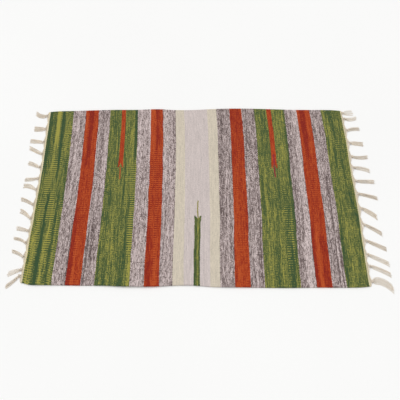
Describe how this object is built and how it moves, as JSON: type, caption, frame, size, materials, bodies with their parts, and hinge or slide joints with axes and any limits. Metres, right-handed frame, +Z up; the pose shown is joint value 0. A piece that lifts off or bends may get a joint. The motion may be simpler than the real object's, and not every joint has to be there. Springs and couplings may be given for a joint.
{
  "type": "kilim rug",
  "caption": "Small flat-woven striped rug, lying flat, with bare warp ends knotted into tassels along both short ends.",
  "frame": {"origin": "centre of the cloth's flat underside", "axes": "+X along the warps and the stripes' order, from the left fringe to the right one; +Y across, towards the selvedge with the two red bars; +Z up, out of the face"},
  "size_m": [1.01, 0.6136, 0.0066],
  "materials": {
    "woven_weft": "matt weft-faced flat weave in stripes of green, grey marl, red-orange, cream and pale lilac",
    "bare_warp": "matt unbleached plied cotton yarn"
  },
  "bodies": {
    "root": {"cloth": "woven_weft", "fringe_left": "bare_warp", "fringe_right": "bare_warp"}
  },
  "joints": []
}
